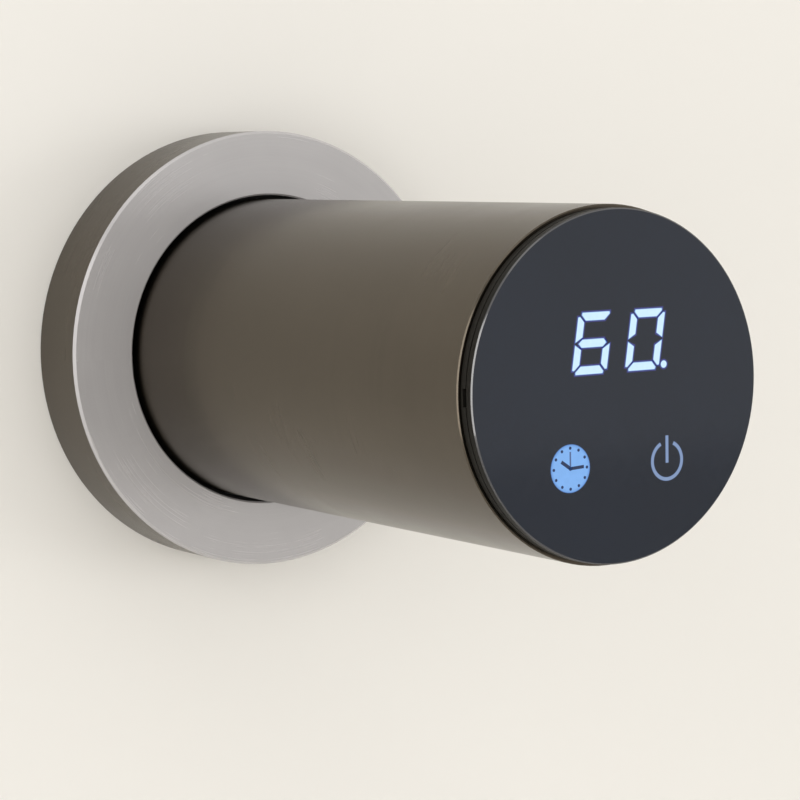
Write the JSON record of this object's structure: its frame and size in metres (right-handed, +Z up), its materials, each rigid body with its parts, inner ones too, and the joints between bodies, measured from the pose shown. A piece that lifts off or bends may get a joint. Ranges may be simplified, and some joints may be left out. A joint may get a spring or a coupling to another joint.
{
  "type": "heated towel rail",
  "caption": "Short round heated rail that stands out of a wall flange, with a dark glass touch display in its free end.",
  "frame": {"origin": "centre of the mounting plate's wall face", "axes": "+Z up, the rail stands out of the wall along -Y, +Y points into the wall"},
  "size_m": [0.087, 0.128, 0.087],
  "materials": {
    "gunmetal": "brushed and dark coated",
    "flange_metal": "brushed and dark coated",
    "zinc_steel": "zinc plated",
    "spring_steel": "bright",
    "black_plastic": "fine texture",
    "white_plastic": "satin",
    "board_green": "satin",
    "component_dark": "satin",
    "component_blue": "gloss",
    "black_rubber": "matt",
    "red_silicone": "matt",
    "grey_rubber": "matt",
    "wire_brown": "satin",
    "insulation": "matt fibre",
    "black_glass": "polished, dark",
    "lamp_white": "lit",
    "clear_adhesive": "matt"
  },
  "bodies": {
    "wall_unit": {"mounting_plate": "zinc_steel", "heated_tube": "gunmetal", "tube_screws": "zinc_steel", "cable_grommet": "black_rubber", "earth_screw": "zinc_steel", "terminal_block": "white_plastic", "terminal_screws": "zinc_steel", "supply_wires": "wire_brown", "heating_mat": "red_silicone", "spring_sleeve": "spring_steel", "thermal_cutout": "component_dark", "temperature_sensor": "component_dark", "heater_leads": "red_silicone", "insulation_disc": "insulation", "control_housing": "black_plastic", "housing_seal": "black_rubber", "retaining_springs": "spring_steel", "power_board": "board_green", "transformer": "component_dark", "relay": "component_blue", "capacitors": "component_dark", "film_capacitor": "component_blue", "board_connector": "component_dark", "board_spacers": "zinc_steel", "display_board": "board_green", "board_screws": "zinc_steel", "driver_chip": "component_dark", "display_lamps": "lamp_white", "touch_rings": "grey_rubber", "light_box": "white_plastic", "glass_adhesive": "clear_adhesive", "glass_panel": "black_glass"},
    "cover_flange": {"wall_flange": "flange_metal", "flange_grip_ring": "black_rubber"}
  },
  "joints": [
    {"name": "flange_slide", "type": "slide", "parent": "wall_unit", "child": "cover_flange", "axis": [0, -1, 0], "range_m": [0, 0.1]}
  ]
}
